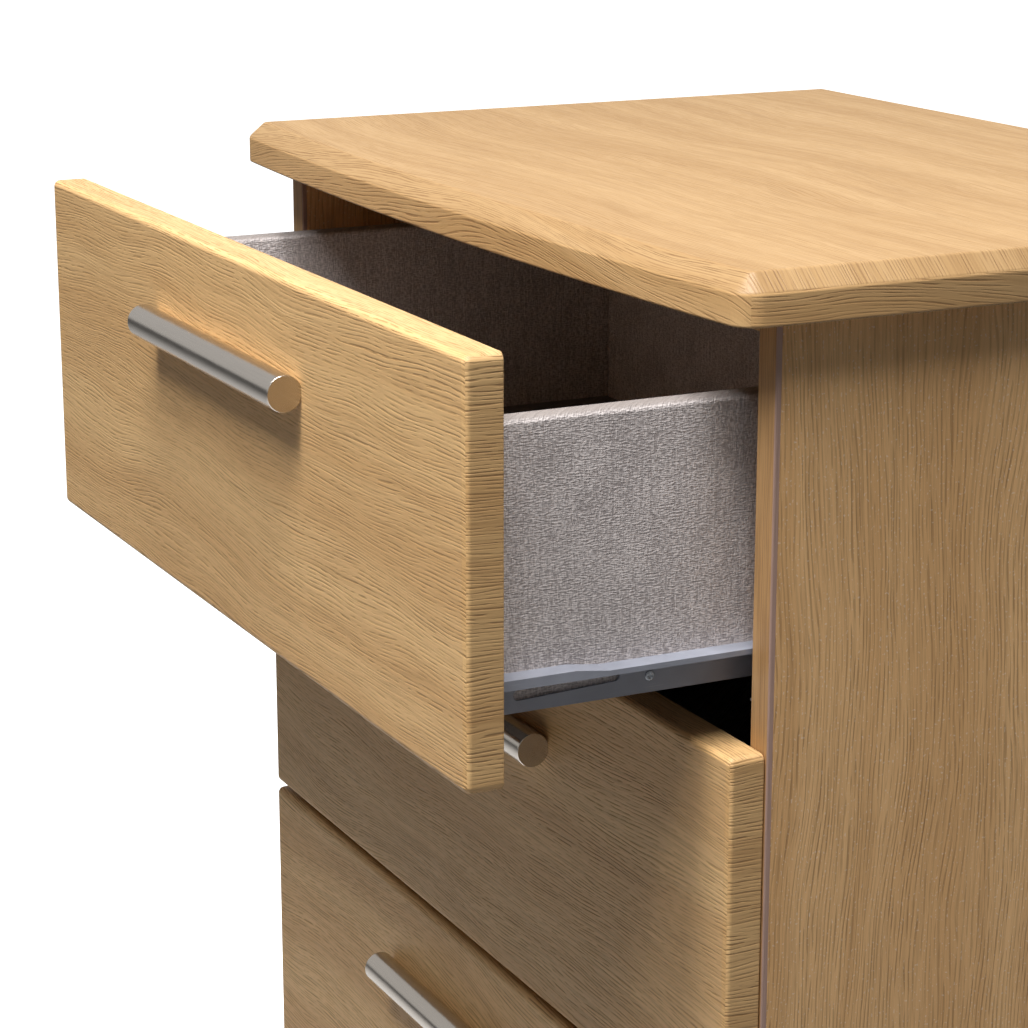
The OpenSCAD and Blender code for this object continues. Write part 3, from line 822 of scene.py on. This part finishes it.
# %% [markdown]
# ## The carcass boards
# Two side panels, a base, a plinth, two rails and a hardboard back. They are plain boards,
# but even a plain board has a small round on its foiled arrises that catches the light,
# and that thin bright line is what tells the eye that the board is real.


# %% Make the carcass boards
def carcass_board(node, axis, material, slot, **rounds):
    """A board that fills the box of one CAD node."""
    low, high = box_of(node)
    return settle(board("board_" + node, low, high, axis, material, **rounds), "carcass", slot, node)


carcass_board("left_side_panel", 0, side_oak, "carcass_oak", front=0.5 * MM, rear=0.5 * MM)
carcass_board("right_side_panel", 0, side_oak, "carcass_oak", front=0.5 * MM, rear=0.5 * MM)
carcass_board("base_panel", 2, front_oak, "carcass_oak")
carcass_board("plinth", 1, front_oak, "carcass_oak")
carcass_board("back_panel", 1, hardboard, "hardboard", front=0.3 * MM, rear=0.3 * MM)

# %% The two rails under the top
rail_low, rail_high = box_of("top_rails")
rails = join_meshes("rails_under_the_top", [
    board("front_rail", rail_low, (rail_high.x, rail_low.y + RAIL_DEPTH, rail_high.z), 2, front_oak),
    board("rear_rail", (rail_low.x, rail_high.y - RAIL_DEPTH, rail_low.z), rail_high, 2, front_oak),
], front_oak)
settle(rails, "carcass", "carcass_oak", "top_rails")
print("rails:", tuple(round(c, 3) for c in rail_low), tuple(round(c, 3) for c in rail_high))

# %% [markdown]
# ## Drawer fronts
# Each front is a thick board whose outer face runs over into its edges with a generous
# round, and whose corners are round as well. Its back is nearly square. The board is
# lofted from the face backwards, with the large round in front and a small one behind.


# %% Make the fronts
def make_front(n):
    """The front of drawer n."""
    low, high = box_of(f"drawer_{n}_front")
    made = board(f"front_{n}", low, high, 1, front_oak, front=FRONT_ARRIS, rear=0.8 * MM)
    return settle(made, f"drawer_{n}", "front_oak", f"drawer_{n}_front")


fronts = [make_front(n) for n in DRAWERS]
print("fronts:", [f.name for f in fronts])

# %% [markdown]
# ## Handles
# The handle is a round bar with a flat milled along its back, screwed tight to the front.
# Its ends are cut square and the burr is taken off with a tiny chamfer. The outline is a
# circle cut by the plane of the front, and it is lofted along the bar.


# %% Make the handles
def bar_outline(centre_y, centre_z, flat_y, radius, steps=40):
    """A circle cut off by the plane of the drawer front."""
    open_angle = math.acos(min(1.0, (flat_y - centre_y) / radius))
    first, last = open_angle, 2 * math.pi - open_angle
    angles = [first + (last - first) * i / steps for i in range(steps + 1)]
    return [(centre_y + radius * math.cos(a), centre_z + radius * math.sin(a)) for a in angles]


def make_handle(n):
    """The bar on drawer n."""
    low, high = box_of(f"drawer_{n}_handle")
    centre_y, centre_z = high.y - HANDLE_AXIS_OUT, (low.z + high.z) / 2
    shares = [(1.0, 0.0), (0.45, 0.25), (0.1, 0.6), (0.0, 1.0)]
    steps = [(inset, low.x + run * HANDLE_CHAMFER) for inset, run in shares]
    steps += [(inset, high.x - run * HANDLE_CHAMFER) for inset, run in reversed(shares)]
    rings = []
    for inset, x in steps:
        outline = bar_outline(centre_y, centre_z, high.y, HANDLE_RADIUS - inset * HANDLE_CHAMFER)
        rings.append([(x, y, z) for y, z in outline])
    made = loft(f"handle_{n}", rings, nickel)
    return settle(made, f"drawer_{n}", "handle_nickel", f"drawer_{n}_handle")


handles = [make_handle(n) for n in DRAWERS]

# %% [markdown]
# ## Screws
# A screw head that is just a disc looks wrong even when it is small. These have a domed
# head with a sunk cross. One loft makes the shank, the underside, the dome and the cross,
# because all of its rings have the same number of points.


# %% Helpers that make a screw
def cross_ring(arm, width, level):
    """A plus sign drawn with 24 points."""
    w, a = width, arm
    corners = [
        (w, w), (w, a), (-w, a), (-w, w), (-a, w), (-a, -w),
        (-w, -w), (-w, -a), (w, -a), (w, -w), (a, -w), (a, w),
    ]
    points = []
    for (x0, y0), (x1, y1) in zip(corners, corners[1:] + corners[:1]):
        points += [(x0, y0, level), ((x0 + x1) / 2, (y0 + y1) / 2, level)]
    return points


def round_ring(radius, level):
    """A circle of 24 points that starts beside the first point of the plus sign."""
    angles = [math.radians(45 + 15 * i) for i in range(24)]
    return [(radius * math.cos(a), radius * math.sin(a), level) for a in angles]


def screw_rings(head_r, head_t, shank_r, shank_l):
    """Rings from the tip of the shank to the bottom of the cross; the head sits on level 0."""
    rings = [round_ring(shank_r * 0.3, -shank_l), round_ring(shank_r, -shank_l + shank_r)]
    rings += [round_ring(shank_r, -0.1 * MM), round_ring(head_r, 0.0), round_ring(head_r, head_t * 0.35)]
    for share in (0.25, 0.5, 0.75):
        a = share * math.pi / 2
        radius = head_r * (0.62 + 0.38 * math.cos(a))
        rings.append(round_ring(radius, head_t * (0.35 + 0.6 * math.sin(a))))
    rings.append(cross_ring(head_r * 0.55, head_r * 0.13, head_t))
    rings.append(cross_ring(head_r * 0.38, head_r * 0.08, head_t * 0.25))
    return rings


def screw(at, facing_to, head_r, head_t, shank_r, shank_l, turn=0.0):
    """One screw, with its head seated at a point and turned towards a direction."""
    aim = Vector(facing_to).to_track_quat("Z", "Y").to_matrix()
    c, s = math.cos(turn), math.sin(turn)
    rings = [
        [Vector(at) + aim @ Vector((c * x - s * y, s * x + c * y, z)) for x, y, z in ring]
        for ring in screw_rings(head_r, head_t, shank_r, shank_l)
    ]
    return loft("screw", rings, zinc)


# %% Make the screws of the drawers
box_half = box_of("drawer_1_right_side")[1].x


def make_drawer_screws(n):
    """Two handle screws and six runner screws of drawer n."""
    inner_face = box_of(f"drawer_{n}_front")[1].y
    handle_low, handle_high = box_of(f"drawer_{n}_handle")
    foot = box_of(f"drawer_{n}_right_side")[0].z - RUNNER_SHEET
    made = []
    for side in (-1, 1):
        at = (side * HANDLE_SCREW_PITCH / 2, inner_face, (handle_low.z + handle_high.z) / 2)
        made.append(screw(at, (0, 1, 0), *HANDLE_SCREW, turn=0.4 * side))
        for k, (back, up) in enumerate(RUNNER_SCREW_PLACES):
            y = inner_face + SCREW_ROW_START + back * MM
            at = (side * (box_half + RUNNER_SHEET), y, foot + up * MM)
            made.append(screw(at, (side, 0, 0), *RUNNER_SCREW, turn=0.7 * k + n))
    piece = join_meshes(f"screws_{n}", made, zinc)
    return settle(piece, f"drawer_{n}", "screw_steel", f"drawer_{n}_screws")


for n in DRAWERS:
    make_drawer_screws(n)
print("screws per drawer: 8")

# %% [markdown]
# ## Drawer boxes
# Two side boards and a back of linen-printed board, and a thin bottom of the same print.
# The bottom slides in a groove, so only its face inside the box is seen.


# %% Make the drawer boxes
def make_box_board(n, part, axis, name):
    """One board of drawer n."""
    node = f"drawer_{n}_{part}"
    low, high = box_of(node)
    finish = shaded_linen_sheet if part == "bottom" else linen_board
    soft = SHEET_ARRIS if part == "bottom" else BOX_ARRIS
    made = board(f"{name}_{n}", low, high, axis, finish, front=soft, rear=soft)
    return settle(made, f"drawer_{n}", "linen_board", node)


for n in DRAWERS:
    make_box_board(n, "left_side", 0, "left_board")
    make_box_board(n, "right_side", 0, "right_board")
    make_box_board(n, "back", 1, "rear_board")
    make_box_board(n, "bottom", 2, "bottom_sheet")
print("drawer boards:", 4 * len(DRAWERS))

# %% [markdown]
# ## Rollers
# A runner's roller is moulded nylon: a hub round the axle, a thinner web, and a rim with
# soft edges. Its half section is turned round the axle, which is what a lathe would do,
# so the rings here are closed and need no caps.


# %% Make the rollers
def roller(centre_y, centre_z, radius, x0, x1):
    """One roller between two places on X."""
    width = x1 - x0
    section = [
        (AXLE_BORE, 0.0), (AXLE_BORE + 1.5 * MM, 0.0), (AXLE_BORE + 1.7 * MM, 0.7 * MM),
        (radius - 1.9 * MM, 0.7 * MM), (radius - 1.6 * MM, 0.0), (radius - 0.6 * MM, 0.0),
        (radius - 0.15 * MM, 0.2 * MM), (radius, 0.7 * MM),
    ]
    section += [(r, width - x) for r, x in reversed(section)]
    count = 40
    rings = []
    for r, x in section:
        turned = [2 * math.pi * i / count for i in range(count)]
        rings.append([(x0 + x, centre_y + r * math.cos(a), centre_z + r * math.sin(a)) for a in turned])
    return loft("roller", rings, nylon, closed=True)


def make_rollers(n, place):
    """The two rollers on one line of drawer n."""
    node = f"drawer_{n}_{place}_rollers"
    low, high = box_of(node)
    y, z, r = (low.y + high.y) / 2, (low.z + high.z) / 2, (high.z - low.z) / 2
    inner = max(v.co.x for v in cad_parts[node].data.vertices if v.co.x < 0)
    pair = [roller(y, z, r, -inner, high.x), roller(y, z, r, low.x, inner)]
    piece = join_meshes(f"{place}_rollers_{n}", pair, nylon)
    return settle(piece, f"drawer_{n}_{place}_roller_pair", "roller_nylon", node)


for n in DRAWERS:
    make_rollers(n, "rear")
    make_rollers(n, "front")
print("rollers:", 4 * len(DRAWERS))


# %% [markdown]
# ## Pieces that keep their CAD shape
# The runners, the edge bands and the screws of the carcass already have the right shape.
# They only change their finish, which is done in the object's material slots.


# %% Give the kept pieces their finishes
def refinish(node, material):
    """A better material on a CAD node."""
    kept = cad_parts[node]
    if not kept.material_slots:
        kept.data.materials.append(material)
    for place in kept.material_slots:
        place.material = material


refinish("side_edge_bands", edge_band)
refinish("cabinet_runners", painted_steel)
refinish("carcass_screws", zinc)
for n in DRAWERS:
    refinish(f"drawer_{n}_runners", painted_steel)
print("kept pieces:", 3 + len(DRAWERS))

# %% [markdown]
# ## Floor, sky and lamps
# The chest stands on a white sweep. A soft lamp hangs high in front and throws the bars'
# shadows straight down, and a stronger one hangs over the right side, so steep that the
# top shades the side panel. A weak lamp behind shows the back. The floor must look white
# but throw little light back up, so it glows for the camera's own rays and is grey for all
# others.


# %% Lay the floor
def floor_material():
    """White to the eye, grey to the light, with the chest's shadow near its feet."""
    made, tree, shader = new_material("pale_floor", Roughness=0.9, Specular_IOR_Level=0.1)
    where = tree.nodes.new("ShaderNodeTexCoord").outputs["Object"]
    reach = add_node(tree, "ShaderNodeVectorMath", {0: where}, operation="LENGTH").outputs["Value"]
    far = between(tree, reach, 0.55, 1.15)
    rays = tree.nodes.new("ShaderNodeLightPath").outputs
    looked_at = rays["Is Camera Ray"]
    cloud = mottle(tree, where, 3.0, 2.0)
    pale = blend_colours(tree, cloud, (0.86, 0.86, 0.86, 1), (0.9, 0.9, 0.9, 1))
    clear = calc(tree, "MAXIMUM", looked_at, rays["Is Glossy Ray"])
    tint = blend_colours(tree, clear, (0.24, 0.24, 0.24, 1), pale)
    shader.inputs["Emission Color"].default_value = (1, 1, 1, 1)
    glow = times(tree, times(tree, far, looked_at), 1.2)
    feed(tree, shader, Base_Color=tint, Emission_Strength=glow)
    return made


def build_floor():
    """A wide disc of rings, so that its rim is round and far away."""
    count, radii = 64, [0.6, 1.5, 4.0, 12.0, 60.0]
    rings = []
    for r in radii:
        angles = [2 * math.pi * i / count for i in range(count)]
        rings.append([(r * math.cos(a), r * math.sin(a), 0.0) for a in angles])
    mesh = bpy.data.meshes.new("floor")
    points = [p for ring in rings for p in ring]
    faces = [tuple(range(count))]
    for i in range(len(rings) - 1):
        a, b = i * count, (i + 1) * count
        faces += [(a + k, a + (k + 1) % count, b + (k + 1) % count, b + k) for k in range(count)]
    mesh.from_pydata(points, [], faces)
    mesh.materials.append(floor_material())
    made = bpy.data.objects.new("floor", mesh)
    made.location.z = -0.0005
    bpy.context.scene.collection.objects.link(made)
    return made


build_floor()


# %% Hang the lamps
def lamp(name, place, aim, width, depth, power):
    """A soft rectangular lamp of so many watts that points at a spot."""
    data = bpy.data.lights.new(name, "AREA")
    data.shape = "RECTANGLE"
    data.size, data.size_y, data.energy = width, depth, power
    made = bpy.data.objects.new(name, data)
    made.location = place
    made.rotation_euler = (Vector(aim) - Vector(place)).to_track_quat("-Z", "Y").to_euler()
    bpy.context.scene.collection.objects.link(made)
    return made


key = lamp("lamp above the front", (0.35, -1.40, 3.3), (0.0, -0.2, 0.9), width=0.6, depth=0.9, power=64)
over = lamp(
    "lamp over the right side", (0.72, -0.40, 3.3), (0.2, -0.1, 0.9), width=0.75, depth=1.5, power=92
)
rear = lamp(
    "lamp behind the left corner", (-1.4, 1.8, 0.7), (0.0, 0.0, 0.6), width=1.2, depth=0.6, power=10
)
print("lamps:", key.name, "-", over.name, "-", rear.name)


# %% Build the sky
def build_sky():
    """A sky that is brightest overhead and in mirrors, and plain white where it is seen."""
    world = bpy.data.worlds.new("studio")
    bpy.context.scene.world = world
    world.use_nodes = True
    tree = world.node_tree
    back = tree.nodes["Background"]
    where = tree.nodes.new("ShaderNodeTexCoord").outputs["Generated"]
    up = add_node(tree, "ShaderNodeSeparateXYZ", {0: where}).outputs[2]
    bright = between(tree, up, 0.0, 1.0, 0.03, 0.12)
    rays = tree.nodes.new("ShaderNodeLightPath").outputs
    back.inputs["Color"].default_value = (1.0, 1.0, 1.0, 1.0)
    mirrored = between(tree, up, 0.0, 0.07, 0.24, 0.60)
    extra = calc(tree, "SUBTRACT", mirrored, bright)
    light = calc(tree, "MULTIPLY_ADD", extra, rays["Is Glossy Ray"], bright)
    seen = times(tree, calc(tree, "SUBTRACT", 1.2, light), rays["Is Camera Ray"])
    tree.links.new(calc(tree, "ADD", light, seen), back.inputs["Strength"])
    return world


print("sky:", build_sky().name)
